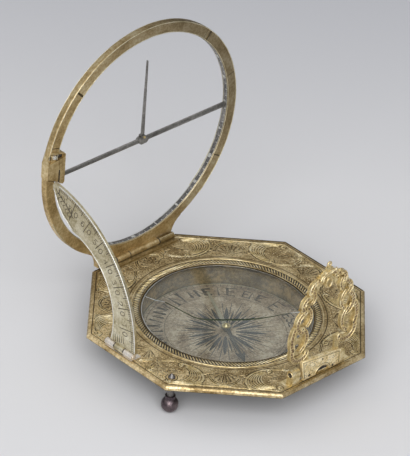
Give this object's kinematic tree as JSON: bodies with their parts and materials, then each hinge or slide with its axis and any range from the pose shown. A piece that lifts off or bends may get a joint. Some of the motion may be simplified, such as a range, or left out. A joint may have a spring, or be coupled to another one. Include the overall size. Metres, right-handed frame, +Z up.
{
  "type": "universal equatorial compass dial",
  "caption": "Folding equatorial sundial: octagonal engraved plate with sunk compass, hinged hour ring and gnomon, latitude arc, plumb bracket and levelling screws.",
  "frame": {"origin": "centre of the flat underside of the compass box", "axes": "+Z up through the compass; X along the hour ring's hinge; +Y towards the hour ring's hinge, so the latitude arc stands on the -X side and the plumb bracket on the -Y side"},
  "size_m": [0.1, 0.1026, 0.1103],
  "materials": {
    "gilt_plate": "engraved gilt brass",
    "worn_brass": "patinated brass",
    "bright_gilt": "bright cast gilt brass",
    "silvered_brass": "worn silvered brass",
    "silvered_dial": "silvered brass with an engraved rose",
    "steel": "grey steel",
    "blued_steel": "blued steel",
    "brown_steel": "browned steel",
    "old_glass": "flat old window glass"
  },
  "bodies": {
    "base": {"base_plate": "gilt_plate", "compass_box": "gilt_plate", "compass_dial": "silvered_dial", "compass_glass": "old_glass", "glass_bezel": "gilt_plate", "box_screws": "gilt_plate", "compass_pivot": "steel", "ring_hinge_leaf": "worn_brass", "ring_hinge_pin": "steel", "ring_leaf_rivets": "worn_brass", "arc_hinge_leaf": "silvered_brass", "arc_hinge_pin": "steel", "arc_leaf_rivets": "silvered_brass", "bracket_hinge_leaf": "bright_gilt", "bracket_hinge_pin": "steel", "bracket_leaf_rivets": "bright_gilt", "levelling_bushes": "gilt_plate"},
    "needle": {"compass_needle": "blued_steel", "needle_cap": "bright_gilt"},
    "ring": {"hour_ring": "worn_brass", "index_tongue": "worn_brass", "tongue_screw": "steel"},
    "pointer": {"crossbar": "steel", "gnomon_hub": "steel", "gnomon": "steel", "gnomon_pin": "bright_gilt"},
    "arc": {"latitude_arc": "silvered_brass"},
    "bracket": {"plumb_bracket": "bright_gilt", "bracket_foot_plate": "bright_gilt", "foot_plate_rivets": "bright_gilt", "plumb_hook": "bright_gilt"},
    "foot_left": {"screw_stem_left": "steel", "ball_foot_left": "brown_steel"},
    "foot_right": {"screw_stem_right": "steel", "ball_foot_right": "brown_steel"},
    "foot_rear": {"screw_stem_rear": "steel", "ball_foot_rear": "brown_steel"}
  },
  "joints": [
    {"name": "ring_fold", "type": "hinge", "parent": "base", "child": "ring", "pos_m": [0, 0.0485, 0.0113], "axis": [1, 0, 0], "range_deg": [-2, 90]},
    {"name": "arc_fold", "type": "hinge", "parent": "base", "child": "arc", "pos_m": [-0.048, 0.0053, 0.01135], "axis": [0, 1, 0], "range_deg": [0, 90]},
    {"name": "bracket_fold", "type": "hinge", "parent": "base", "child": "bracket", "pos_m": [0, -0.0474, 0.01115], "axis": [-1, 0, 0], "range_deg": [0, 90]},
    {"name": "gnomon_turn", "type": "hinge", "parent": "ring", "child": "pointer", "pos_m": [0.001, 0.0509, 0.058], "axis": [-1, 0, 0], "range_deg": [0, 90]},
    {"name": "needle_spin", "type": "hinge", "parent": "base", "child": "needle", "pos_m": [0, 0, 0.004], "axis": [0, 0, 1], "continuous": true},
    {"name": "left_screw", "type": "slide", "parent": "base", "child": "foot_left", "axis": [0, 0, 1], "range_m": [-0.001, 0.0008]},
    {"name": "right_screw", "type": "slide", "parent": "base", "child": "foot_right", "axis": [0, 0, 1], "range_m": [-0.001, 0.0008]},
    {"name": "rear_screw", "type": "slide", "parent": "base", "child": "foot_rear", "axis": [0, 0, 1], "range_m": [-0.001, 0.0008]}
  ]
}
